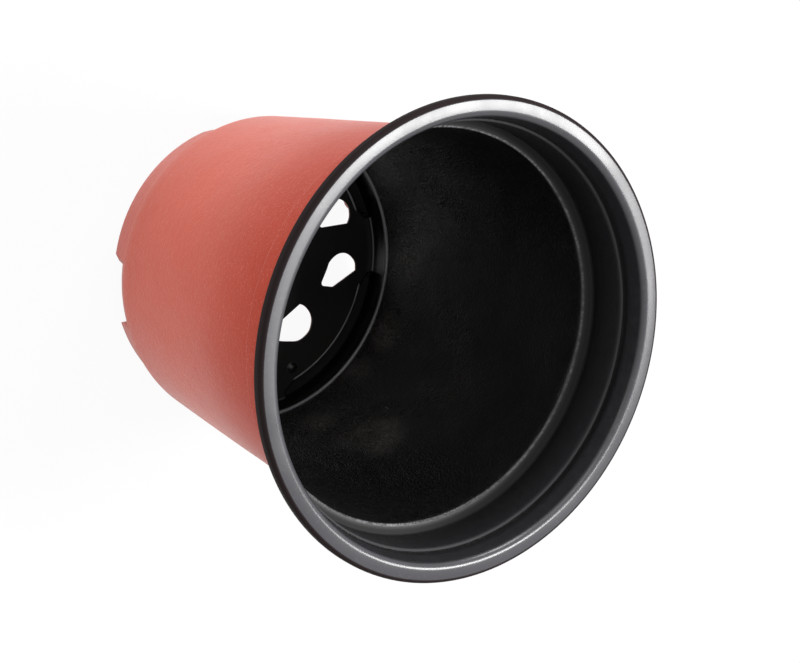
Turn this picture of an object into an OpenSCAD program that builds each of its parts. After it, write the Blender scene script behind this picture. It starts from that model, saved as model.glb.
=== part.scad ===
// Thin formed nursery pot in two-tone sheet: terracotta outside, black inside.
// Origin at the centre of the ground plane, +Z up through the mouth.

/* [Pot] */
// Overall height from the ground to the top of the rim
pot_height = 137; // [100:1:200]
// Diameter over the outside of the rolled lip
lip_diameter = 150; // [140:1:170]

/* [Sheet] */
// Thickness of the terracotta outer layer
outer_layer_thickness = 0.3; // [0.2:0.05:0.4]
// Thickness of the black inner layer
inner_layer_thickness = 0.25; // [0.2:0.05:0.35]

/* [Rim and lip] */
// Width of the flat top of the rim, from its inner corner to the lip
rim_width = 5.8; // [4:0.1:8]
// Height of the rolled lip, from the underside of the rim down to its edge
lip_height = 3.3; // [2.5:0.1:5]
// How far the edge of the lip curls back in under the rim
lip_curl = 1.9; // [1:0.1:2.5]
// Bend where the lip rolls over and down
lip_bend = 0.9; // [0.6:0.1:1.2]
// Bend where the lip curls back in
curl_bend = 0.6; // [0.4:0.1:0.9]
// Bend between the collar and the rim
rim_bend = 1.8; // [0.6:0.1:2.2]

/* [Collar] */
// Height of the flared band under the rim
flare_height = 7.9; // [5:0.1:12]
// How much the flared band widens on each side
flare_spread = 1.6; // [1:0.1:3.5]
// Width of the narrow step under the flared band
upper_step_width = 0.6; // [0.5:0.05:1]
// Fall of the narrow step towards the collar
upper_step_fall = 0.25; // [0.2:0.05:0.4]
// Bend at the inner edge of the narrow step
upper_step_bend = 0.3; // [0.2:0.05:0.35]
// Height of the nearly straight band of the collar
collar_height = 13.25; // [8:0.05:20]
// How much the straight band widens on each side
collar_spread = 0.55; // [0.2:0.05:2]
// Width of the ledge at the foot of the collar
ledge_width = 3.2; // [2:0.1:4]
// Fall of the ledge towards the wall
ledge_fall = 1.3; // [0.8:0.1:2.5]
// Bends on both sides of the ledge
ledge_bend = 0.85; // [0.75:0.05:1.2]

/* [Wall and foot] */
// How much the band under the lower step widens on each side, from the ground to the step
band_spread = 2.6; // [1:0.1:4]
// Height of the lower step above the ground
step_height = 14.6; // [12:0.1:20]
// Width of the lower step
step_width = 1.2; // [0.8:0.1:2]
// Fall of the lower step
step_fall = 0.9; // [0.6:0.1:1.5]
// Bends on both sides of the lower step
step_bend = 0.7; // [0.65:0.05:0.9]
// Outside diameter of the feet at the ground
foot_diameter = 102.8; // [96:0.2:106]
// Width of a foot at the ground
foot_width = 3.3; // [3:0.1:4.5]
// Lean of the inner wall of the feet from the ground to the floor
foot_lean = 0.7; // [0.4:0.1:2]
// Bends at the ground
foot_bend = 0.9; // [0.7:0.1:1.2]
// Height of the underside of the floor above the ground
floor_height = 8.5; // [6:0.1:11]
// Bend between the floor and the feet
floor_bend = 0.6; // [0.4:0.1:1.2]

/* [Drain gaps] */
// Number of feet, with a drain gap between each two
foot_count = 4; // [3:1:5]
// Width of a drain gap at the floor, between the ends of two feet
gap_width = 20.4; // [12:0.2:24]
// Slope of the ends of the feet
gap_slope = 15; // [4:1:20]
// How much wider a gap gets on each side towards the middle of the pot
gap_flare = 4; // [2:0.2:6]

/* [Drain holes] */
// Number of groups, each with a pair of outer holes and one inner hole
hole_groups = 3; // [2:1:3]
// Direction of the middle of the first pair of outer holes
first_pair_angle = 49.8; // [0:0.2:90]
// Angle between the two outer holes of a pair
pair_angle = 31.8; // [30:0.2:38]
// Radius of the circle on which the outer holes lie
outer_hole_ring = 38.2; // [36:0.2:39]
// Radius of the round head of an outer hole
outer_hole_radius = 6.4; // [4.6:0.2:6.6]
// Distance of the straight side of an outer hole from the middle of its head
outer_hole_flat = 3.6; // [2.4:0.2:4]
// Direction in which the tail of the first hole of a pair points, from the line out of the pot's axis
first_tail_angle = 215; // [190:5:230]
// Direction in which the tail of the second hole of a pair points, from the same line
second_tail_angle = 158; // [140:2:180]
// Radius of the circle on which the inner holes lie
inner_hole_ring = 28.8; // [26:0.2:30]
// Radius of the round head of an inner hole
inner_hole_radius = 7; // [5.2:0.2:7.4]
// Distance of the straight side of an inner hole from the middle of its head
inner_hole_flat = 4.8; // [3:0.2:5]
// Direction in which the tail of an inner hole points, from the line out of the pot's axis
inner_tail_angle = 265; // [240:5:290]
// Distance from the middle of the head to the tip of the tail
tail_length = 9.7; // [9:0.1:10.5]
// Radius of the rounded tip of the tail
tail_radius = 1.2; // [0.8:0.1:1.6]

/* [Floor pips] */
// Radius of the ball that forms each small raised pip of the floor
pip_radius = 2.2; // [1.6:0.1:3]
// Height of a pip above the floor
pip_height = 0.8; // [0.4:0.1:1.2]
// Distance of a pip from the edge of the floor
pip_inset = 4.7; // [3:0.1:5]
// Angle from the middle of a foot to each of its two pips
pip_angle = 26; // [20:1:28]

/* [Hidden] */
$fn = 96;

sheet = outer_layer_thickness + inner_layer_thickness;
lip_radius = lip_diameter / 2 - sheet;
rim_level = pot_height - sheet;
rim_radius = lip_radius - rim_width + sheet;
crease_radius = rim_radius - flare_spread;
crease_level = rim_level - flare_height;
collar_top_radius = crease_radius - upper_step_width;
collar_top_level = crease_level - upper_step_fall;
collar_radius = collar_top_radius - collar_spread;
collar_level = collar_top_level - collar_height;
wall_top_radius = collar_radius - ledge_width;
wall_top_level = collar_level - ledge_fall;
foot_outer_radius = foot_diameter / 2;
band_radius = foot_outer_radius + band_spread;
band_level = step_height - step_fall;
wall_foot_radius = band_radius + step_width;
foot_inner_radius = foot_outer_radius - foot_width;
floor_radius = foot_inner_radius - foot_lean;

function on_ring(radius, angle) = radius * [cos(angle), sin(angle)];

// Each drain hole: ring, direction, head with its straight side, tail direction and hand.
// A pair lies on the outer ring, and half a group further on is one on the inner ring.
outer_head = [outer_hole_radius, outer_hole_flat];
inner_head = [inner_hole_radius, inner_hole_flat];
hole_places = [for (i = [0:hole_groups - 1])
    let(middle = first_pair_angle + i * 360 / hole_groups)
    each [
        [outer_hole_ring, middle - pair_angle / 2, outer_head, first_tail_angle, 1],
        [outer_hole_ring, middle + pair_angle / 2, outer_head, second_tail_angle, 1],
        [inner_hole_ring, middle + 180 / hole_groups, inner_head, inner_tail_angle, -1]
    ]
];

// Two pips by each foot, near its ends
pip_places = [for (i = [0:foot_count - 1], side = [-1, 1])
    on_ring(floor_radius - pip_inset, i * 360 / foot_count + side * pip_angle)
];

// Share of the width of its head and its tip at which the straight sides of a tail meet them
neck_share = 0.94;
// Steps along each rounded bend of the section
bend_steps = 5;
// How far a cutting shape runs past what it cuts
overrun = pot_height / 10;

// The section of the sheet, on its terracotta face: corners and the radius of each bend.
// It runs out along the floor, round a foot, up the wall and over the rim.
cup_corners = [
    [0, floor_height],
    [floor_radius, floor_height],
    [foot_inner_radius, 0],
    [foot_outer_radius, 0],
    [band_radius, band_level],
    [wall_foot_radius, step_height],
    [wall_top_radius, wall_top_level],
    [collar_radius, collar_level],
    [collar_top_radius, collar_top_level],
    [crease_radius, crease_level]
];
cup_bends = [
    0, floor_bend, foot_bend, foot_bend, step_bend, step_bend,
    ledge_bend, ledge_bend, upper_step_bend, 0
];
rim_corners = [
    [crease_radius, crease_level],
    [rim_radius, rim_level],
    [lip_radius, rim_level],
    [lip_radius, rim_level - lip_height + sheet],
    [lip_radius - lip_curl, rim_level - lip_height + sheet]
];
rim_bends = [0, rim_bend, lip_bend, curl_bend, 0];

function unit(v) = v / norm(v);
function left_of(v) = [-v[1], v[0]];
function turn_between(u, v) = atan2(u[0] * v[1] - u[1] * v[0], u * v);
function turned(v, angle) = [v[0] * cos(angle) - v[1] * sin(angle), v[0] * sin(angle) + v[1] * cos(angle)];

// A corner of a path moved by depth to the left of the path
function moved_corner(before, at, after, depth) =
    let(n = left_of(unit(at - before)), m = left_of(unit(after - at)))
    at + depth * (n + m) / (1 + n * m);

// The points of a bend, whose radius grows or shrinks with the depth
function bend_points(before, at, after, bend, depth) =
    let(u = unit(at - before), v = unit(after - at), angle = turn_between(u, v))
    let(radius = bend - sign(angle) * depth, reach = radius * tan(abs(angle) / 2))
    let(start = at - reach * u, middle = start + sign(angle) * radius * left_of(u))
    [for (i = [0:bend_steps]) middle + turned(start - middle, angle * i / bend_steps)];

// The rounded path of a section at some depth in the sheet, from its second corner to its last but one
function bent_path(corners, bends, depth) =
    let(last = len(corners) - 1)
    let(moved = [for (i = [1:last - 1]) moved_corner(corners[i - 1], corners[i], corners[i + 1], depth)])
    let(first_end = corners[0] + depth * left_of(unit(corners[1] - corners[0])))
    let(last_end = corners[last] + depth * left_of(unit(corners[last] - corners[last - 1])))
    let(all = concat([first_end], moved, [last_end]))
    [for (i = [1:last - 1]) each bend_points(all[i - 1], all[i], all[i + 1], bends[i], depth)];

function crease_point(depth) = moved_corner(
    [collar_top_radius, collar_top_level], [crease_radius, crease_level], [rim_radius, rim_level], depth);

function curl_end(depth) = [lip_radius - lip_curl, rim_level - lip_height + sheet - depth];

function cup_path(depth) = concat(
    [[0, floor_height + depth]], bent_path(cup_corners, cup_bends, depth), [crease_point(depth)]);

function rim_path(depth) = concat(bent_path(rim_corners, rim_bends, depth), [curl_end(depth)]);

function backwards(points) = [for (i = [len(points) - 1:-1:0]) points[i]];

// Everything inside the face of the sheet at some depth, up through the mouth
module cup_filling(depth) {
    crease = crease_point(depth);
    difference() {
        rotate_extrude()
            polygon(concat(cup_path(depth), [[crease[0], pot_height + overrun], [0, pot_height + overrun]]));
        under_floor(depth);
    }
}

// The same filling up to the crease, with the rim of one layer on top
module rimmed_filling(depth, back_depth) {
    back_crease = crease_point(back_depth);
    difference() {
        rotate_extrude()
            polygon(concat(
                cup_path(depth), rim_path(depth), backwards(rim_path(back_depth)),
                [back_crease, [0, back_crease[1]]]));
        under_floor(depth);
    }
}

// What pushes up into the sheet from below: the drain gaps between the feet and the pips
module under_floor(depth) {
    for (i = [0:foot_count - 1])
        rotate((i + 0.5) * 360 / foot_count)
            drain_gap(depth);
    for (place = pip_places)
        if (min([for (hole = hole_places) norm(place - on_ring(hole[0], hole[1])) - hole[2][0]]) > pip_radius)
            translate([place[0], place[1], floor_height + pip_height - pip_radius])
                sphere(pip_radius + depth);
}

// Half the width of a drain gap at some height, between the sloping ends of two feet
function gap_half_width(level, depth) =
    gap_width / 2 + (floor_height - level) * tan(gap_slope) + depth / cos(gap_slope);

// A drain gap runs out under the wall, and its inner corners are cut back under the floor
module drain_gap(depth) {
    roof = floor_height + depth;
    corner = gap_width / 2 + gap_flare + depth;
    narrow = gap_width / 2 - gap_flare;
    translate([floor_radius - gap_flare, 0, 0])
        rotate([90, 0, 90])
            linear_extrude(wall_foot_radius)
                polygon([
                    [-gap_half_width(-overrun, depth), -overrun],
                    [gap_half_width(-overrun, depth), -overrun],
                    [gap_half_width(roof, depth), roof],
                    [-gap_half_width(roof, depth), roof]
                ]);
    translate([0, 0, -overrun])
        linear_extrude(roof + overrun)
            polygon([
                [floor_radius - gap_flare, -corner],
                [floor_radius + depth, -corner],
                [foot_outer_radius, -narrow],
                [foot_outer_radius, narrow],
                [floor_radius + depth, corner],
                [floor_radius - gap_flare, corner]
            ]);
}

// A drain hole in plan: a round head and a short tail along +X, sliced straight on one side
module hole_outline(head_radius, flat, hand) {
    tail_middle = tail_length - tail_radius;
    spread = acos((head_radius - tail_radius) / tail_middle);
    side = neck_share * [cos(spread), sin(spread)];
    difference() {
        union() {
            circle(head_radius);
            translate([tail_middle, 0])
                circle(tail_radius);
            polygon([
                head_radius * side,
                [head_radius * side[0], -head_radius * side[1]],
                [tail_middle + tail_radius * side[0], -tail_radius * side[1]],
                [tail_middle + tail_radius * side[0], tail_radius * side[1]]
            ]);
        }
        translate([-tail_length, hand > 0 ? flat : -flat - head_radius])
            square([2 * tail_length, head_radius]);
    }
}

module drain_hole(ring, angle, head, tail_angle, hand) {
    rotate(angle)
        translate([ring, 0, 0])
            rotate(tail_angle)
                linear_extrude(floor_height + overrun)
                    hole_outline(head[0], head[1], hand);
}

// One layer of the sheet, between two depths from its terracotta face
module sheet_layer(depth, back_depth) {
    difference() {
        rimmed_filling(depth, back_depth);
        cup_filling(back_depth);
        for (hole = hole_places)
            drain_hole(hole[0], hole[1], hole[2], hole[3], hole[4]);
    }
}

module outer_layer() {
    color([0.72, 0.29, 0.22])
        sheet_layer(0, outer_layer_thickness);
}

module inner_layer() {
    color([0.08, 0.08, 0.09])
        sheet_layer(outer_layer_thickness, sheet);
}

outer_layer();
inner_layer();
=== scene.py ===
import math

import bmesh
import bpy
from mathutils import Matrix, Vector, noise


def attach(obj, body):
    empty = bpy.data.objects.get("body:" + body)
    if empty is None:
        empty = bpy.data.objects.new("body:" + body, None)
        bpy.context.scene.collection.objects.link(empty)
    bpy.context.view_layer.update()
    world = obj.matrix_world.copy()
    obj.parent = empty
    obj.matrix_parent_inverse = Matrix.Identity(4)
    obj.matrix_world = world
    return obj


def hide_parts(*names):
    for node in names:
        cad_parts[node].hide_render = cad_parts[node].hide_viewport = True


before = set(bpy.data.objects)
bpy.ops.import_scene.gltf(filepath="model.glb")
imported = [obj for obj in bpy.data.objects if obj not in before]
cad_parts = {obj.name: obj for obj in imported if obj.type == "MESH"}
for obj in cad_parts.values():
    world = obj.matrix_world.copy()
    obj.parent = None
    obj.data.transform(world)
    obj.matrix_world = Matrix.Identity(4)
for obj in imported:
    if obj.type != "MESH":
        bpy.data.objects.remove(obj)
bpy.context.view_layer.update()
scene = bpy.context.scene
mm = 0.001
print("frame loaded")


# the camera stands at the photograph's angle

camera = {
    "place": (-0.33055, -0.11081, 0.54445),
    "right": (0.62999, 0.56184, 0.53614),
    "up": (-0.54466, 0.81177, -0.21068),
    "lens": 80.05,
    "sensor": 36,
    "shiftX": 0.125,
    "near": 0.01,
    "far": 20,
}

lens = bpy.data.cameras.new("camera")
lens.lens = camera["lens"]
lens.sensor_width = camera["sensor"]
lens.shift_x = camera["shiftX"]
lens.clip_start = camera["near"]
lens.clip_end = camera["far"]
viewer = bpy.data.objects.new("camera", lens)
sideways = Vector(camera["right"]).normalized()
upwards = Vector(camera["up"]).normalized()
backwards = sideways.cross(upwards)
turned = Matrix((sideways, upwards, backwards)).transposed().to_4x4()
viewer.matrix_world = Matrix.Translation(camera["place"]) @ turned
scene.collection.objects.link(viewer)
scene.camera = viewer
scene.view_settings.view_transform = "Standard"
print("camera set")


# short helpers for building shader nodes

def newMaterial(name):
    material = bpy.data.materials.new(name)
    material.use_nodes = True
    tree = material.node_tree
    return material, tree, tree.nodes["Principled BSDF"]


def addNode(tree, kind, **settings):
    node = tree.nodes.new(kind)
    for key, value in settings.items():
        setattr(node, key, value)
    return node


def feed(tree, value, socket):
    # a number or a colour is written on the socket, and another node's output is joined to it
    if isinstance(value, (int, float, tuple)):
        socket.default_value = value
    else:
        tree.links.new(value, socket)


def maths(tree, operation, a, b=None, c=None, clamp=False):
    node = addNode(tree, "ShaderNodeMath", operation=operation, use_clamp=clamp)
    for socket, value in zip(node.inputs, (a, b, c)):
        if value is not None:
            feed(tree, value, socket)
    return node.outputs[0]


def times(tree, a, b):
    return maths(tree, "MULTIPLY", a, b)


def plus(tree, a, b):
    return maths(tree, "ADD", a, b)


def ramp(tree, value, low, high, toLow=0.0, toHigh=1.0):
    # low and high turn into two other values, with a soft start and end between them
    node = addNode(tree, "ShaderNodeMapRange", interpolation_type="SMOOTHSTEP")
    tree.links.new(value, node.inputs["Value"])
    node.inputs["From Min"].default_value = low
    node.inputs["From Max"].default_value = high
    node.inputs["To Min"].default_value = toLow
    node.inputs["To Max"].default_value = toHigh
    return node.outputs["Result"]


def band(tree, value, middle, half):
    # one close to a value, fading to nothing at half a width from it
    away = maths(tree, "ABSOLUTE", maths(tree, "SUBTRACT", value, middle))
    return ramp(tree, away, half * 0.3, half, 1.0, 0.0)


def objectPlace(tree):
    return addNode(tree, "ShaderNodeTexCoord").outputs["Object"]


def noiseField(tree, vector, scale, detail, roughness, distortion=0.0):
    node = addNode(tree, "ShaderNodeTexNoise")
    tree.links.new(vector, node.inputs["Vector"])
    feed(tree, scale, node.inputs["Scale"])
    node.inputs["Detail"].default_value = detail
    node.inputs["Roughness"].default_value = roughness
    node.inputs["Distortion"].default_value = distortion
    return node.outputs["Fac"]


def blendColours(tree, mask, first, second):
    node = addNode(tree, "ShaderNodeMix", data_type="RGBA")
    feed(tree, mask, node.inputs[0])
    feed(tree, first, node.inputs[6])
    feed(tree, second, node.inputs[7])
    return node.outputs[2]


def mixValues(tree, mask, first, second):
    node = addNode(tree, "ShaderNodeMix", data_type="FLOAT")
    feed(tree, mask, node.inputs[0])
    feed(tree, first, node.inputs[2])
    feed(tree, second, node.inputs[3])
    return node.outputs[0]


def bumpFrom(tree, height, distance, strength, below=None):
    node = addNode(tree, "ShaderNodeBump")
    node.inputs["Distance"].default_value = distance
    node.inputs["Strength"].default_value = strength
    tree.links.new(height, node.inputs["Height"])
    if below is not None:
        tree.links.new(below, node.inputs["Normal"])
    return node.outputs["Normal"]


# effects that both sides of the sheet use, with their heights and radii in metres

potPlaces = {
    "rimHeight": (0.1322, 0.1330),
    "rimRadius": (0.0684, 0.0690),
    "gapShare": (0.155, 0.175),
}


def placesGroup():
    # where a point lies on the pot, from its distance to the axis and its height
    tree = bpy.data.node_groups.new("potPlaces", "ShaderNodeTree")
    for name in ("Radius", "Height", "Rim", "Gap"):
        tree.interface.new_socket(name, in_out="OUTPUT", socket_type="NodeSocketFloat")
    out = addNode(tree, "NodeGroupOutput")
    parts = addNode(tree, "ShaderNodeSeparateXYZ")
    tree.links.new(objectPlace(tree), parts.inputs[0])
    x, y, height = parts.outputs[0], parts.outputs[1], parts.outputs[2]
    squares = plus(tree, times(tree, x, x), times(tree, y, y))
    radius = maths(tree, "SQRT", squares)
    high = ramp(tree, height, *potPlaces["rimHeight"])
    wide = ramp(tree, radius, *potPlaces["rimRadius"])
    # the four drain gaps lie where x and y are nearly alike in size
    across = maths(tree, "DIVIDE", times(tree, x, y), squares)
    gap = ramp(tree, times(tree, across, across), *potPlaces["gapShare"])
    tree.links.new(radius, out.inputs["Radius"])
    tree.links.new(height, out.inputs["Height"])
    tree.links.new(times(tree, high, wide), out.inputs["Rim"])
    tree.links.new(gap, out.inputs["Gap"])
    return tree


sheetGrain = {
    # detail and roughness of the noises whose scale each finish sets, and their shares
    "fineNoise": (3.0, 0.6),
    "fineShare": 0.6,
    "coarser": 0.37,
    "coarseNoise": (2.0, 0.5),
    "coarseShare": 0.4,
    "fleckNoise": (1.0, 0.4),
    "fleckRange": (0.60, 0.72),
    # scale, detail, roughness and distortion
    "cloudNoise": (28.0, 4.0, 0.55, 0.4),
    "cloudRange": (0.30, 0.72),
}


def grainGroup():
    # the fine pebbled skin that the sheet takes from its rollers, and flecks and clouds in it
    tree = bpy.data.node_groups.new("sheetGrain", "ShaderNodeTree")
    for name in ("Scale", "Fleck Scale"):
        tree.interface.new_socket(name, in_out="INPUT", socket_type="NodeSocketFloat")
    for name in ("Grain", "Flecks", "Clouds"):
        tree.interface.new_socket(name, in_out="OUTPUT", socket_type="NodeSocketFloat")
    given = addNode(tree, "NodeGroupInput")
    out = addNode(tree, "NodeGroupOutput")
    where = objectPlace(tree)
    scale = given.outputs["Scale"]
    fine = noiseField(tree, where, scale, *sheetGrain["fineNoise"])
    fine = times(tree, fine, sheetGrain["fineShare"])
    scale = times(tree, scale, sheetGrain["coarser"])
    coarse = noiseField(tree, where, scale, *sheetGrain["coarseNoise"])
    coarse = times(tree, coarse, sheetGrain["coarseShare"])
    tree.links.new(plus(tree, fine, coarse), out.inputs["Grain"])
    spots = noiseField(tree, where, given.outputs["Fleck Scale"], *sheetGrain["fleckNoise"])
    tree.links.new(ramp(tree, spots, *sheetGrain["fleckRange"]), out.inputs["Flecks"])
    clouds = noiseField(tree, where, *sheetGrain["cloudNoise"])
    tree.links.new(ramp(tree, clouds, *sheetGrain["cloudRange"]), out.inputs["Clouds"])
    return tree


hideGrain = {
    # scale, detail, roughness and distortion
    "creaseNoise": (420.0, 3.0, 0.6, 1.2),
    "shiftScale": 420.0,
    "shift": (0.0016, 0.0016, 0.0016),
    "softness": 0.35,
}


def leatherGroup():
    # small crumpled cells, with longer creases across them
    tree = bpy.data.node_groups.new("leatherGrain", "ShaderNodeTree")
    tree.interface.new_socket("Cell Scale", in_out="INPUT", socket_type="NodeSocketFloat")
    for name in ("Cells", "Creases"):
        tree.interface.new_socket(name, in_out="OUTPUT", socket_type="NodeSocketFloat")
    given = addNode(tree, "NodeGroupInput")
    out = addNode(tree, "NodeGroupOutput")
    where = objectPlace(tree)
    shift = addNode(tree, "ShaderNodeTexNoise")
    shift.inputs["Scale"].default_value = hideGrain["shiftScale"]
    tree.links.new(where, shift.inputs["Vector"])
    moved = addNode(tree, "ShaderNodeVectorMath", operation="MULTIPLY_ADD")
    tree.links.new(shift.outputs["Color"], moved.inputs[0])
    moved.inputs[1].default_value = hideGrain["shift"]
    tree.links.new(where, moved.inputs[2])
    cells = addNode(tree, "ShaderNodeTexVoronoi", feature="SMOOTH_F1")
    cells.inputs["Smoothness"].default_value = hideGrain["softness"]
    tree.links.new(moved.outputs[0], cells.inputs["Vector"])
    tree.links.new(given.outputs["Cell Scale"], cells.inputs["Scale"])
    tree.links.new(cells.outputs["Distance"], out.inputs["Cells"])
    creases = noiseField(tree, moved.outputs[0], *hideGrain["creaseNoise"])
    tree.links.new(creases, out.inputs["Creases"])
    return tree


places = placesGroup()
grain = grainGroup()
leather = leatherGroup()


def useGroup(tree, group, **values):
    node = addNode(tree, "ShaderNodeGroup", node_tree=group)
    for name, value in values.items():
        node.inputs[name].default_value = value
    return node.outputs


# the terracotta side, with heights in metres

terracotta = {
    # the deep colour near the mouth holds painted shade from the overhanging rim
    "deepWithRimShade": (0.380, 0.032, 0.010, 1),
    "pale": (0.560, 0.076, 0.036, 1),
    "fleck": (0.62, 0.17, 0.12, 1),
    # the colour of the pale lines at the bends, partly painted highlight
    "crease": (0.88, 0.50, 0.44, 1),
    "rimShadeHeights": (0.045, 0.115),
    "rimShadeShare": 0.85,
    "cloudShare": 0.15,
    "fleckShare": 0.36,
    # middle and half width of the pale lines, partly stretched sheet and partly painted highlight
    "stepLine": (0.0138, 0.0009),
    "ledgeLine": (0.1130, 0.0011),
    "lineShare": (0.75, 1.0),
    "grainScales": {"Scale": 1500.0, "Fleck Scale": 1500.0},
    "roughness": 0.46,
    "cleanRoughness": 0.80,
    "cleanHeights": (0.070, 0.112),
    "unevenness": (0.25, 0.75, -0.06, 0.08),
    "specular": 0.30,
    "bloom": 0.34,
    "bloomRoughness": 0.34,
    "grain": 0.00030,
    "grainStrength": 0.8,
    # scale, detail and roughness of the slow waves in the surface
    "waveNoise": (90.0, 2.0, 0.5),
    "waves": 0.0004,
    "waveStrength": 0.35,
}


def terracottaPlastic():
    material, tree, shader = newMaterial("terracottaPlastic")
    skin = useGroup(tree, grain, **terracotta["grainScales"])
    height = useGroup(tree, places)["Height"]
    # the colour deepens towards the mouth, partly the plastic's own tone and partly painted shade under
    # the overhanging rim, with faint clouds in it
    paintedRimShade = ramp(tree, height, *terracotta["rimShadeHeights"], terracotta["rimShadeShare"], 0.0)
    clouded = plus(tree, paintedRimShade, times(tree, skin["Clouds"], terracotta["cloudShare"]))
    colour = blendColours(tree, clouded, terracotta["deepWithRimShade"], terracotta["pale"])
    flecked = times(tree, skin["Flecks"], terracotta["fleckShare"])
    colour = blendColours(tree, flecked, colour, terracotta["fleck"])
    # pale lines at the step and at the ledge: the sheet is partly stretched pale where it is bent, and
    # the rest is painted highlight along the bends
    stepLine = band(tree, height, *terracotta["stepLine"])
    ledgeLine = band(tree, height, *terracotta["ledgeLine"])
    paleBendsAndHighlights = maths(tree, "ADD", stepLine, ledgeLine, clamp=True)
    paleBendsAndHighlights = times(tree, paleBendsAndHighlights, ramp(tree, skin["Clouds"], 0.0, 1.0, *terracotta["lineShare"]))
    colour = blendColours(tree, paleBendsAndHighlights, colour, terracotta["crease"])
    tree.links.new(colour, shader.inputs["Base Color"])
    # handling has polished it below, and it stays clean and matt under the ledge
    used, clean = terracotta["roughness"], terracotta["cleanRoughness"]
    rough = ramp(tree, height, *terracotta["cleanHeights"], used, clean)
    uneven = ramp(tree, skin["Grain"], *terracotta["unevenness"])
    tree.links.new(plus(tree, rough, uneven), shader.inputs["Roughness"])
    waves = noiseField(tree, objectPlace(tree), *terracotta["waveNoise"])
    soft = bumpFrom(tree, waves, terracotta["waves"], terracotta["waveStrength"])
    normal = bumpFrom(tree, skin["Grain"], terracotta["grain"], terracotta["grainStrength"], soft)
    tree.links.new(normal, shader.inputs["Normal"])
    shader.inputs["Specular IOR Level"].default_value = terracotta["specular"]
    shader.inputs["Sheen Weight"].default_value = terracotta["bloom"]
    shader.inputs["Sheen Roughness"].default_value = terracotta["bloomRoughness"]
    return material


# the black side, with heights and radii in metres

blackSide = {
    "wall": (0.0030, 0.0026, 0.0028, 1),
    # painted light on the low wall's patches
    "warmPaintedLight": (0.0088, 0.0070, 0.0060, 1),
    "collar": (0.0180, 0.0168, 0.0192, 1),
    "rim": (0.0520, 0.0498, 0.0560, 1),
    "lip": (0.0150, 0.0095, 0.0100, 1),
    "scuff": (0.080, 0.080, 0.088, 1),
    # painted highlights along the crests
    "paintedCrestHighlight": (0.330, 0.325, 0.340, 1),
    # painted light in the shaded hollow feet
    "paintedGrooveLight": (0.045, 0.042, 0.044, 1),
    # painted haze and highlights where the leather catches the light
    "paintedGlintHaze": (0.0240, 0.0205, 0.0165, 1),
    "paintedGlint": (0.118, 0.111, 0.104, 1),
    "specular": {"wall": 0.44, "rim": 0.47, "lip": 0.07},
    "grainScales": {"Scale": 1300.0, "Fleck Scale": 700.0},
    "leatherScales": {"Cell Scale": 1400.0},
    "scuffShare": 0.35,
    "collarHeights": (0.113, 0.131),
    "paintedGrooveLightHeights": (0.0070, 0.0082, 1.0, 0.0),
    "lipRadius": (0.0734, 0.0740),
    # a range is low, high and what they turn into, and a noise is scale, detail, roughness and distortion
    "patchNoise": (36.0, 3.0, 0.55, 0.2),
    "patchRange": (0.42, 0.62),
    "patchHeights": (0.050, 0.085, 1.0, 0.3),
    "patchRelief": (0.75, 1.6),
    # places where the leather stands out and painted highlights stand for the light it catches: x, y, z
    # and reach in millimetres
    "glints": [
        (54.5, -6.5, 21.0, 9.0), (46.5, -31.0, 31.0, 10.0), (51.0, -27.5, 56.0, 16.0),
        (9.0, 55.0, 29.0, 11.0), (42.0, 36.0, 27.0, 11.0), (54.0, 12.0, 24.0, 10.0),
    ],
    "glintCore": 0.2,
    "glintRelief": 0.6,
    "glintNoise": (60.0, 1.0, 0.5),
    "glintRange": (0.30, 0.70, 0.2, 1.0),
    "wrinkleCells": (0.30, 0.50),
    "wrinkleCreases": (0.38, 0.60, 0.25, 1.0),
    # middle and half width of the crests with painted highlights, and how much of each is painted
    "floorEdgeRadius": (0.0472, 0.0006),
    "floorEdgeHeight": (0.0090, 0.0008),
    "stepEdge": (0.0149, 0.0005),
    "stepEdgeShare": 0.8,
    "ledgeNose": (0.11415, 0.0004),
    "ledgeNoseRange": (0.42, 0.62, 0.2, 0.7),
    "collarCrease": (0.1289, 0.0008),
    "collarCreaseShare": 0.05,
    "crestHighlightNoise": (26.0, 2.0, 0.5),
    "crestHighlightRange": (0.38, 0.58, 0.3, 1.0),
    "floorRoughness": 0.24,
    "wallRoughness": 0.30,
    "wallSpread": (-0.05, 0.09),
    "wallCreases": (0.3, 0.7),
    "dullWall": 0.07,
    "ledgeRoughness": 0.46,
    "ledgeDull": 0.80,
    "ledgeBottom": (0.1141, 0.1144),
    "ledgeTop": (0.1160, 0.1167, 1.0, 0.0),
    "ledgeRadius": (0.0631, 0.0650),
    "stepRoughness": 0.85,
    "stepBand": (0.1288, 0.0016),
    "rimRoughness": 0.29,
    "rimSpread": (-0.04, 0.06),
    "lipRoughness": 0.62,
    "leather": 0.00021,
    "leatherStrength": 0.8,
    "leatherBottom": (0.0142, 0.0160),
    "leatherBottomShare": (0.03, 1.0),
    "leatherTop": (0.112, 0.1155, 1.0, 0.12),
    "leatherEnd": (0.1300, 0.1325, 1.0, 0.2),
    "fineShare": (0.12, 0.04),
    "dents": 0.0010,
    "dentNoise": (34.0, 2.0, 0.45, 0.6),
    "dentStrength": 1.0,
}


def nearPlaces(tree, where, marks):
    # one at each mark, fading out to nothing at its reach
    nearest = 0.0
    for x, y, z, reach in marks:
        away = addNode(tree, "ShaderNodeVectorMath", operation="DISTANCE")
        tree.links.new(where, away.inputs[0])
        away.inputs[1].default_value = (x * mm, y * mm, z * mm)
        core = reach * blackSide["glintCore"] * mm
        near = ramp(tree, away.outputs["Value"], core, reach * mm, 1.0, 0.0)
        nearest = maths(tree, "MAXIMUM", near, nearest)
    return nearest


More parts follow.
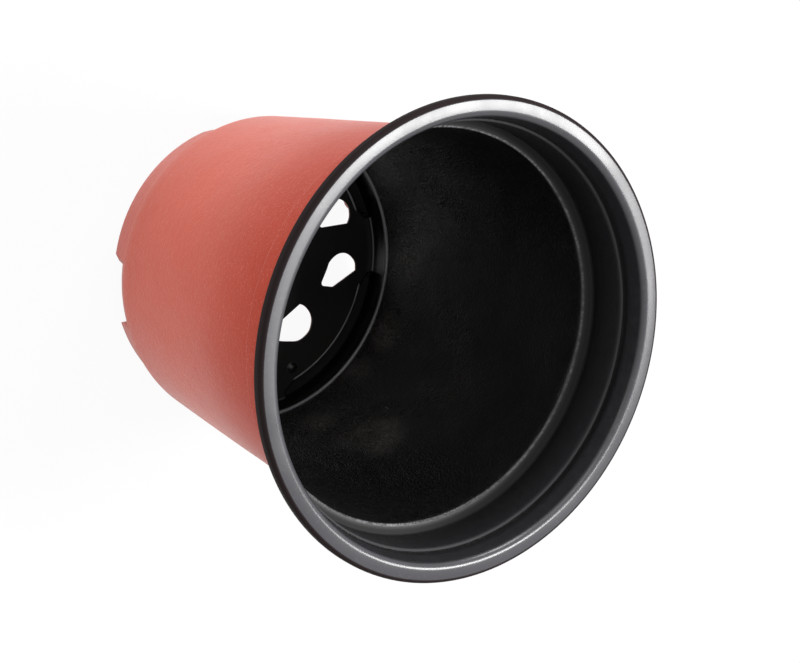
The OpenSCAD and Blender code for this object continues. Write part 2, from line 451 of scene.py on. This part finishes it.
def paintedCrestHighlights(tree, place, skin, where):
    # painted highlights along the floor's edge, the step's edge, the nose of the ledge and the crease
    # above it
    height = place["Height"]
    floorEdge = times(tree, band(tree, place["Radius"], *blackSide["floorEdgeRadius"]),
                      band(tree, height, *blackSide["floorEdgeHeight"]))
    floorEdge = times(tree, floorEdge, maths(tree, "SUBTRACT", 1.0, place["Gap"]))
    stepEdge = times(tree, band(tree, height, *blackSide["stepEdge"]), blackSide["stepEdgeShare"])
    broken = ramp(tree, skin["Grain"], *blackSide["ledgeNoseRange"])
    nose = times(tree, band(tree, height, *blackSide["ledgeNose"]), broken)
    crests = maths(tree, "ADD", plus(tree, floorEdge, stepEdge), nose, clamp=True)
    uneven = ramp(tree, noiseField(tree, where, *blackSide["crestHighlightNoise"]), *blackSide["crestHighlightRange"])
    crease = times(tree, band(tree, height, *blackSide["collarCrease"]), blackSide["collarCreaseShare"])
    return maths(tree, "MAXIMUM", times(tree, crests, uneven), crease)


def blackRoughness(tree, place, skin, hide, patches, lip):
    height = place["Height"]
    low, high = (blackSide["wallRoughness"] + away for away in blackSide["wallSpread"])
    wall = ramp(tree, hide["Creases"], *blackSide["wallCreases"], low, high)
    wall = plus(tree, wall, ramp(tree, patches, 0.0, 1.0, blackSide["dullWall"], 0.0))
    # the ledge shines at its nose and is dull behind it, and the crease above the collar is dull
    onLedge = times(tree, ramp(tree, height, *blackSide["ledgeBottom"]),
                    ramp(tree, height, *blackSide["ledgeTop"]))
    shiny, dull = blackSide["ledgeRoughness"], blackSide["ledgeDull"]
    ledge = ramp(tree, place["Radius"], *blackSide["ledgeRadius"], shiny, dull)
    wall = mixValues(tree, onLedge, wall, ledge)
    wall = mixValues(tree, band(tree, height, *blackSide["stepBand"]), wall, blackSide["stepRoughness"])
    onWall = ramp(tree, height, *blackSide["leatherBottom"])
    wall = mixValues(tree, onWall, blackSide["floorRoughness"], wall)
    low, high = (blackSide["rimRoughness"] + away for away in blackSide["rimSpread"])
    rim = mixValues(tree, lip, ramp(tree, skin["Clouds"], 0.0, 1.0, low, high), blackSide["lipRoughness"])
    return mixValues(tree, place["Rim"], wall, rim)


def blackPlastic(name, specular):
    material, tree, shader = newMaterial(name)
    place = useGroup(tree, places)
    skin = useGroup(tree, grain, **blackSide["grainScales"])
    hide = useGroup(tree, leather, **blackSide["leatherScales"])
    height = place["Height"]
    where = objectPlace(tree)
    # soft patches low on the wall, glossier and with a rougher grain, and painted light in their warmer,
    # paler colour
    patches = ramp(tree, noiseField(tree, where, *blackSide["patchNoise"]), *blackSide["patchRange"])
    patches = times(tree, patches, ramp(tree, height, *blackSide["patchHeights"]))
    colour = blendColours(tree, patches, blackSide["wall"], blackSide["warmPaintedLight"])
    # painted highlights: pale wrinkles in a painted haze of light, where the leather catches the light
    broken = ramp(tree, noiseField(tree, where, *blackSide["glintNoise"]), *blackSide["glintRange"])
    glints = times(tree, nearPlaces(tree, where, blackSide["glints"]), broken)
    colour = blendColours(tree, glints, colour, blackSide["paintedGlintHaze"])
    wrinkles = times(tree, ramp(tree, hide["Cells"], *blackSide["wrinkleCells"]),
                     ramp(tree, hide["Creases"], *blackSide["wrinkleCreases"]))
    colour = blendColours(tree, times(tree, wrinkles, glints), colour, blackSide["paintedGlint"])
    onCollar = ramp(tree, height, *blackSide["collarHeights"])
    colour = blendColours(tree, onCollar, colour, blackSide["collar"])
    # painted light in the hollow feet, lifting their deep grooves out of shade
    paintedGrooveLightMask = ramp(tree, height, *blackSide["paintedGrooveLightHeights"])
    colour = blendColours(tree, paintedGrooveLightMask, colour, blackSide["paintedGrooveLight"])
    # painted highlights along the crests and the crease above the collar
    colour = blendColours(tree, paintedCrestHighlights(tree, place, skin, where), colour, blackSide["paintedCrestHighlight"])
    lip = ramp(tree, place["Radius"], *blackSide["lipRadius"])
    scuffs = times(tree, skin["Flecks"], blackSide["scuffShare"])
    rim = blendColours(tree, scuffs, blackSide["rim"], blackSide["scuff"])
    rim = blendColours(tree, lip, rim, blackSide["lip"])
    tree.links.new(blendColours(tree, place["Rim"], colour, rim), shader.inputs["Base Color"])
    tree.links.new(blackRoughness(tree, place, skin, hide, patches, lip), shader.inputs["Roughness"])
    # leather on the wall, fading out over the collar and the rim, and finer grain everywhere
    low = ramp(tree, height, *blackSide["leatherBottom"], *blackSide["leatherBottomShare"])
    fade = times(tree, ramp(tree, height, *blackSide["leatherTop"]), low)
    fade = times(tree, fade, ramp(tree, height, *blackSide["leatherEnd"]))
    relief = times(tree, plus(tree, hide["Cells"], hide["Creases"]), fade)
    rougher = ramp(tree, patches, 0.0, 1.0, *blackSide["patchRelief"])
    stands = maths(tree, "MULTIPLY_ADD", glints, blackSide["glintRelief"], rougher)
    relief = times(tree, relief, stands)
    fine = times(tree, skin["Grain"], mixValues(tree, place["Rim"], *blackSide["fineShare"]))
    dents = times(tree, noiseField(tree, where, *blackSide["dentNoise"]), fade)
    soft = bumpFrom(tree, dents, blackSide["dents"], blackSide["dentStrength"])
    both = plus(tree, relief, fine)
    normal = bumpFrom(tree, both, blackSide["leather"], blackSide["leatherStrength"], soft)
    tree.links.new(normal, shader.inputs["Normal"])
    shader.inputs["Specular IOR Level"].default_value = specular
    return material


terracottaFinish = terracottaPlastic()
blackFinishes = []
for part, gloss in blackSide["specular"].items():
    blackFinishes.append(blackPlastic(part + "BlackPlastic", gloss))
print("materials made")


# the formed sheet, modelled once and used for both layers, in millimetres

pot = {
    # radius, height and bend of each corner of the terracotta face, from the floor to the lip
    "corners": [
        (45.2, 8.5, 0.0), (47.4, 8.5, 0.6), (48.1, 0.0, 0.9), (51.4, 0.0, 0.9),
        (54.1, 14.45, 0.4), (55.2, 14.2, 0.6), (63.25, 113.75, 0.85), (66.45, 115.05, 0.85),
        (67.0, 128.3, 0.3), (67.6, 128.55, 0.25), (69.2, 136.45, 1.8), (74.45, 136.45, 0.9),
        (74.45, 133.7, 0.6), (72.55, 133.7, 0.0),
    ],
    "bendSteps": 6,
    "rowLength": 4.0,
    "footRowLength": 1.0,
    "footRowsBelow": 14,
    "feet": 4,
    # turn and steps of the columns of one quarter: narrow ones where a foot ends, wide ones elsewhere
    "columns": [(25.0, 13), (14.0, 28), (12.0, 6), (14.0, 28), (25.0, 13)],
    "floorRadius": 45.2,
    "floorHeight": 8.5,
    "outerLayer": 0.3,
    "innerLayer": 0.25,
    # faces that take the finish of the rim or of the lip
    "rimFrom": 68.8,
    "rimAbove": 132.5,
    "lipFrom": 73.6,
    "curlFrom": 71.5,
    "curlBelow": 135.0,
}


def bentProfile():
    # the section with a run of points round each bend and rows along the straights
    corners = [Vector(c[:2]) for c in pot["corners"]]
    points = [corners[0]]
    for i in range(1, len(corners) - 1):
        before, at, after = corners[i - 1], corners[i], corners[i + 1]
        u, v = (at - before).normalized(), (after - at).normalized()
        angle = math.atan2(u.x * v.y - u.y * v.x, u.dot(v))
        bend = pot["corners"][i][2]
        start = at - u * bend * math.tan(abs(angle) / 2)
        side = 1 if angle > 0 else -1
        middle = start + side * bend * Vector((-u.y, u.x))
        for k in range(pot["bendSteps"] + 1):
            turn = Matrix.Rotation(angle * k / pot["bendSteps"], 2)
            points.append(middle + turn @ (start - middle))
    points.append(corners[-1])
    rows = [points[0]]
    for point in points[1:]:
        last = rows[-1]
        low = max(last.y, point.y) < pot["footRowsBelow"]
        length = pot["footRowLength"] if low else pot["rowLength"]
        steps = max(1, round((point - last).length / length))
        rows += [last.lerp(point, k / steps) for k in range(1, steps + 1)]
    return rows


def spinWall(bm):
    rows = bentProfile()
    line = [bm.verts.new((p.x * mm, 0, p.y * mm)) for p in rows]
    edges = [bm.edges.new(pair) for pair in zip(line, line[1:])]
    moving = line + edges
    for angle, steps in pot["columns"] * pot["feet"]:
        done = bmesh.ops.spin(bm, geom=moving, cent=(0, 0, 0), axis=(0, 0, 1), angle=math.radians(angle),
                              steps=steps, use_merge=False, use_duplicate=False)
        moving = done["geom_last"]
    bmesh.ops.remove_doubles(bm, verts=bm.verts[:], dist=1e-6)


gaps = {
    "half": 10.2,
    "flare": 4.0,
    "flareFrom": 47.4,
    "flareSlope": 2,
    "slope": math.tan(math.radians(15)),
    "edge": 0.6,
    "edgeBelow": 8.0,
    # the press reaches up to this height and in to this radius, and eases off towards both
    "top": 10.2,
    "topEase": 1.7,
    "inner": 45.3,
    "innerEase": 1.6,
    # angles from the middle of a gap: the second and third are drawn to its ends, the rest make room
    "columns": (0, 12, 15, 20, 45),
    "beyondColumns": (20.5, 45),
}


def smoothMax(a, b, edge):
    h = max(edge - abs(a - b), 0.0) / edge
    return max(a, b) + h * h * edge * 0.25


def gapEnds(radius, low):
    # half angles at which a drain gap's roof ends, and at which its sloping end meets the foot
    flared = gaps["half"] + gaps["flare"] - gaps["flareSlope"] * (radius - gaps["flareFrom"])
    roof = max(gaps["half"], min(flared, gaps["half"] + gaps["flare"]))
    foot = roof + max(pot["floorHeight"] - low, 0.0) * gaps["slope"]
    return math.degrees(math.asin(roof / radius)), math.degrees(math.asin(foot / radius))


def stretched(value, before, after):
    # a value carried from one rising list of marks to another
    for i in range(1, len(before)):
        if value <= before[i]:
            share = (value - before[i - 1]) / (before[i] - before[i - 1])
            return after[i - 1] + share * (after[i] - after[i - 1])
    return after[-1]


def pressGaps(bm):
    # columns of points are drawn to the ends of each gap, and what lies between is lifted to its roof
    roofHeight = pot["floorHeight"]
    for vert in bm.verts:
        x, y, z = vert.co / mm
        radius = math.hypot(x, y)
        if z > gaps["top"] or radius < gaps["inner"]:
            continue
        angle = math.degrees(math.atan2(y, x))
        quarter = round((angle - 45) / 90) * 90 + 45
        away = abs(angle - quarter)
        roof, foot = gapEnds(radius, z)
        moved = stretched(away, gaps["columns"], (0, roof, foot + 0.01, *gaps["beyondColumns"]))
        below = (gaps["top"] - z) / gaps["topEase"]
        beside = (radius - pot["floorRadius"]) / gaps["innerEase"]
        moved = away + (moved - away) * min(below, beside, 1.0)
        turn = math.radians(quarter + math.copysign(moved, angle - quarter))
        if z < roofHeight and moved < foot:
            beyond = radius * math.sin(math.radians(moved)) - radius * math.sin(math.radians(roof))
            lifted = roofHeight - max(beyond, 0.0) / gaps["slope"]
            z = smoothMax(z, lifted, gaps["edge"]) if lifted < gaps["edgeBelow"] else max(z, lifted)
        vert.co = Vector((radius * math.cos(turn), radius * math.sin(turn), z)) * mm


floorMarks = {
    "groups": 3,
    "firstPair": 49.8,
    "pairAngle": 31.8,
    "outer": {"ring": 38.2, "head": 6.4, "flat": 3.6},
    "inner": {"ring": 28.8, "head": 7.0, "flat": 4.8},
    # the tail's angle on the two outer holes and on the inner one of each group
    "tails": (215.0, 158.0, 265.0),
    "tailLength": 9.7,
    "tailRadius": 1.2,
    "holePoints": 84,
    "wobble": 0.16,
    "wobbleScale": 2.2,
    "wobbleShift": 7,
    "collar": 0.3,
    "pipRing": 42.7,
    "pipAngle": 26.0,
    "pipRadius": 1.7,
    "pipHeight": 0.8,
    "pipPoints": 24,
    "pipRows": 6,
    "pipCollar": 0.7,
    "pipPeak": 0.02,
    "pipToHole": 2.2,
}


def holePlaces():
    found = []
    half = floorMarks["pairAngle"] / 2
    first, second, third = floorMarks["tails"]
    for i in range(floorMarks["groups"]):
        middle = floorMarks["firstPair"] + i * 360 / floorMarks["groups"]
        found.append((floorMarks["outer"], middle - half, first, 1))
        found.append((floorMarks["outer"], middle + half, second, 1))
        found.append((floorMarks["inner"], middle + 180 / floorMarks["groups"], third, -1))
    return found


def holeRadius(angle, head):
    # the outline of a round head with a short tapering tail along +X, as a radius in each direction
    tipMiddle = floorMarks["tailLength"] - floorMarks["tailRadius"]
    spread = math.acos((head - floorMarks["tailRadius"]) / tipMiddle)
    away = abs(math.remainder(angle, 2 * math.pi))
    if away > spread:
        return head
    side = head / math.cos(spread - away)
    inTip = floorMarks["tailRadius"] ** 2 - (tipMiddle * math.sin(away)) ** 2
    if inTip > 0:
        return min(side, tipMiddle * math.cos(away) + math.sqrt(inTip))
    return side


def ringEdges(ring):
    return list({edge for vert in ring for edge in vert.link_edges if all(v in ring for v in edge.verts)})


def turnedBy(degrees):
    return Matrix.Rotation(math.radians(degrees), 4, "Z")


def addHoles(bm):
    # each hole is a circle pulled out to its tail and pressed flat on one side, in a narrow collar
    rims = []
    wave = floorMarks["wobbleScale"]
    for n, (shape, angle, tail, hand) in enumerate(holePlaces()):
        turn = turnedBy(angle) @ Matrix.Translation((shape["ring"], 0, 0)) @ turnedBy(tail)
        shift = floorMarks["wobbleShift"] * n
        loops = []
        for collar in (0.0, floorMarks["collar"]):
            ring = bmesh.ops.create_circle(bm, segments=floorMarks["holePoints"], radius=1.0)["verts"]
            for vert in ring:
                direction = math.atan2(vert.co.y, vert.co.x)
                reach = holeRadius(direction, shape["head"]) + collar
                spot = Vector((wave * vert.co.x + shift, wave * vert.co.y, 0.5))
                reach += floorMarks["wobble"] * noise.noise(spot)
                x, y = reach * math.cos(direction), reach * math.sin(direction) * hand
                y = min(y, shape["flat"] + collar) * hand
                vert.co = turn @ Vector((x, y, pot["floorHeight"])) * mm
            loops.append(ringEdges(set(ring)))
        bmesh.ops.bridge_loops(bm, edges=loops[0] + loops[1])
        rims += loops[1]
    return rims


def nearAHole(place):
    for shape, angle, tail, hand in holePlaces():
        middle = turnedBy(angle) @ Vector((shape["ring"], 0, 0))
        if (place - middle).length - shape["head"] < floorMarks["pipToHole"]:
            return True
    return False


def addPips(bm):
    rims, domes = [], []
    for foot in range(pot["feet"]):
        for side in (-1, 1):
            angle = math.radians(90 * foot + side * floorMarks["pipAngle"])
            place = Vector((math.cos(angle), math.sin(angle), 0)) * floorMarks["pipRing"]
            if nearAHole(place):
                continue
            put = Matrix.Translation((place.x * mm, place.y * mm, pot["floorHeight"] * mm))
            loops = []
            for radius in (floorMarks["pipRadius"], floorMarks["pipRadius"] + floorMarks["pipCollar"]):
                ring = bmesh.ops.create_circle(bm, segments=floorMarks["pipPoints"],
                                               radius=radius * mm, matrix=put)
                loops.append(ringEdges(set(ring["verts"])))
            bmesh.ops.bridge_loops(bm, edges=loops[0] + loops[1])
            rims += loops[1]
            domes.append((place, loops[0]))
    return rims, domes


def raisePips(bm, domes):
    # rows of smaller rings climb the cap of a ball, and the last one is closed at its top
    pipRadius, pipHeight, rows = floorMarks["pipRadius"], floorMarks["pipHeight"], floorMarks["pipRows"]
    ball = (pipRadius ** 2 + pipHeight ** 2) / (2 * pipHeight)
    for place, edges in domes:
        middle = Vector((place.x, place.y, pot["floorHeight"])) * mm
        for k in range(1, rows):
            grown = bmesh.ops.extrude_edge_only(bm, edges=edges)["geom"]
            verts = [g for g in grown if isinstance(g, bmesh.types.BMVert)]
            edges = [g for g in grown if isinstance(g, bmesh.types.BMEdge)]
            reach = pipRadius * (1 - k / rows)
            height = pot["floorHeight"] + math.sqrt(ball ** 2 - reach ** 2) - ball + pipHeight
            for vert in verts:
                flat = vert.co - middle
                flat.z = 0
                vert.co = middle + flat.normalized() * reach * mm
                vert.co.z = height * mm
        cap = bmesh.ops.edgenet_fill(bm, edges=edges)["faces"]
        bmesh.ops.poke(bm, faces=cap, offset=floorMarks["pipPeak"] * mm)


def onFloorEdge(edge):
    radii = [vert.co.xy.length / mm for vert in edge.verts]
    return edge.is_boundary and all(abs(radius - pot["floorRadius"]) < 0.05 for radius in radii)


def fillFloor(bm):
    outer = [edge for edge in bm.edges if onFloorEdge(edge)]
    holes = addHoles(bm)
    pips, domes = addPips(bm)
    bmesh.ops.triangle_fill(bm, use_beauty=True, use_dissolve=False, edges=outer + holes + pips,
                            normal=(0, 0, -1))
    raisePips(bm, domes)


sag = {
    "depth": 0.22,
    "bottom": 16,
    "top": 113,
    "ease": 0.7,
    "wavesRound": 3.2,
    "waveHeight": 34,
    "smaller": 2.7,
    "smallerShare": 0.45,
}


def sagWall(bm):
    # the thin wall is never quite round: slow waves round it, none at the step and the ledge
    tall = sag["top"] - sag["bottom"]
    for vert in bm.verts:
        z = vert.co.z / mm
        if sag["bottom"] < z < sag["top"]:
            share = math.sin(math.pi * (z - sag["bottom"]) / tall) ** sag["ease"]
            angle = math.atan2(vert.co.y, vert.co.x)
            spot = Vector((sag["wavesRound"] * math.cos(angle), sag["wavesRound"] * math.sin(angle),
                           z / sag["waveHeight"]))
            push = noise.noise(spot) + sag["smallerShare"] * noise.noise(spot * sag["smaller"])
            vert.co.xy *= 1 + sag["depth"] * share * push * mm / vert.co.xy.length


def markFinishes(bm):
    # 0 for the wall, 1 for the rim and 2 for the lip, in the order of the black finishes
    for face in bm.faces:
        face.smooth = True
        middle = face.calc_center_median() / mm
        out = middle.xy.length
        if middle.z > pot["rimAbove"] and out > pot["rimFrom"]:
            onLip = out > pot["lipFrom"] or (out > pot["curlFrom"] and middle.z < pot["curlBelow"])
            face.material_index = 2 if onLip else 1


def makeSkin():
    bm = bmesh.new()
    spinWall(bm)
    pressGaps(bm)
    fillFloor(bm)
    sagWall(bm)
    bmesh.ops.remove_doubles(bm, verts=bm.verts[:], dist=1e-6)
    bmesh.ops.recalc_face_normals(bm, faces=bm.faces[:])
    # any face halfway up tells whether the terracotta side faces outwards
    wall = next(f for f in bm.faces if 0.05 < f.calc_center_median().z < 0.08)
    if wall.normal.xy.dot(wall.calc_center_median().xy) < 0:
        bmesh.ops.reverse_faces(bm, faces=bm.faces[:])
    markFinishes(bm)
    mesh = bpy.data.meshes.new("potSkin")
    bm.to_mesh(mesh)
    bm.free()
    return mesh


def layer(name, mesh, materials, near, far, node):
    # one layer of the sheet, between two depths from its terracotta face
    piece = bpy.data.objects.new(name, mesh.copy())
    piece.data.name = name
    for material in materials:
        piece.data.materials.append(material)
    for face in piece.data.polygons:
        face.material_index = min(face.material_index, len(materials) - 1)
    scene.collection.objects.link(piece)
    sheet = piece.modifiers.new("sheet", "SOLIDIFY")
    sheet.thickness = (far - near) * mm
    sheet.offset = -(near + far) / (far - near)
    sheet.use_even_offset = True
    sheet.use_quality_normals = True
    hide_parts(node)
    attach(piece, "root")


skinMesh = makeSkin()
between = pot["outerLayer"]
inside = pot["outerLayer"] + pot["innerLayer"]
print("skin", len(skinMesh.vertices), "points", len(skinMesh.polygons), "faces")
layer("terracottaSkin", skinMesh, [terracottaFinish], 0, between, "outer_layer")
layer("blackSkin", skinMesh, blackFinishes, between, inside, "inner_layer")
print("pot layers made")


# the white studio round the pot

studio = {
    "floorSize": 4.0,
    "floorCells": 8,
    "floorColour": (0.86, 0.86, 0.86, 1),
    "floorRoughness": 0.9,
    "floorSpecular": 0.1,
    "shadowShare": 0.06,
    "worldLight": 0.62,
    "mirrored": 0.8,
    "aimHeight": 0.09,
    # name, direction in the picture (right, up and to the camera), distance, size and watts
    "lamps": [
        ("rightBox", (0.91, -0.11, 0.36), 1.1, (0.46, 0.32), 13.5),
        ("topBox", (0.50, 0.80, 0.32), 1.1, (0.35, 0.35), 5),
        ("frontBox", (0.15, 0.50, 0.85), 1.3, (0.6, 0.5), 2),
        ("leftBox", (-0.55, 0.25, 0.80), 1.2, (0.5, 0.5), 1.5),
    ],
}


def whenSeen(tree, seen, unseen, output):
    # one shader for what the camera and mirrors see, another for the light it gives
    path = addNode(tree, "ShaderNodeLightPath")
    choice = addNode(tree, "ShaderNodeMixShader")
    looked = maths(tree, "MAXIMUM", path.outputs["Is Camera Ray"], path.outputs["Is Glossy Ray"])
    looked = maths(tree, "MAXIMUM", looked, path.outputs["Is Transmission Ray"])
    tree.links.new(looked, choice.inputs[0])
    tree.links.new(unseen, choice.inputs[1])
    tree.links.new(seen, choice.inputs[2])
    tree.links.new(choice.outputs[0], output.inputs["Surface"])


def paleFloor():
    bm = bmesh.new()
    cells = studio["floorCells"]
    bmesh.ops.create_grid(bm, x_segments=cells, y_segments=cells, size=studio["floorSize"] / 2)
    mesh = bpy.data.meshes.new("floor")
    bm.to_mesh(mesh)
    bm.free()
    ground = bpy.data.objects.new("floor", mesh)
    scene.collection.objects.link(ground)
    material, tree, shader = newMaterial("paleFloor")
    shader.inputs["Base Color"].default_value = studio["floorColour"]
    shader.inputs["Roughness"].default_value = studio["floorRoughness"]
    shader.inputs["Specular IOR Level"].default_value = studio["floorSpecular"]
    # it glows white where it is seen, and keeps only a share of the shadow
    glow = addNode(tree, "ShaderNodeEmission")
    glow.inputs["Strength"].default_value = 1.0
    mixed = addNode(tree, "ShaderNodeMixShader")
    mixed.inputs[0].default_value = 1 - studio["shadowShare"]
    tree.links.new(shader.outputs[0], mixed.inputs[1])
    tree.links.new(glow.outputs[0], mixed.inputs[2])
    whenSeen(tree, mixed.outputs[0], shader.outputs[0], tree.nodes["Material Output"])
    mesh.materials.append(material)


def softWorld():
    world = bpy.data.worlds.new("studio")
    world.use_nodes = True
    tree = world.node_tree
    light = tree.nodes["Background"]
    light.inputs["Color"].default_value = (1, 1, 1, 1)
    light.inputs["Strength"].default_value = studio["worldLight"]
    # pure white behind the pot, and a little less of it in the plastic's gloss
    white = addNode(tree, "ShaderNodeBackground")
    white.inputs["Strength"].default_value = 1.0
    direct = addNode(tree, "ShaderNodeLightPath").outputs["Is Camera Ray"]
    tone = maths(tree, "MULTIPLY_ADD", direct, 1 - studio["mirrored"], studio["mirrored"])
    tree.links.new(tone, white.inputs["Color"])
    whenSeen(tree, white.outputs[0], light.outputs[0], tree.nodes["World Output"])
    scene.world = world


def softLamp(name, direction, distance, size, power):
    # a lamp in a direction given in the picture, square to the picture's upright
    lamp = bpy.data.lights.new(name, "AREA")
    lamp.shape = "RECTANGLE"
    lamp.size, lamp.size_y = size
    lamp.energy = power
    right, up, back = direction
    away = (sideways * right + upwards * up + backwards * back).normalized()
    side = upwards.cross(away).normalized()
    turn = Matrix((side, away.cross(side), away)).transposed().to_4x4()
    holder = bpy.data.objects.new(name, lamp)
    stand = away * distance + Vector((0, 0, studio["aimHeight"]))
    holder.matrix_world = Matrix.Translation(stand) @ turn
    scene.collection.objects.link(holder)


paleFloor()
softWorld()
for settings in studio["lamps"]:
    softLamp(*settings)
print("studio made")
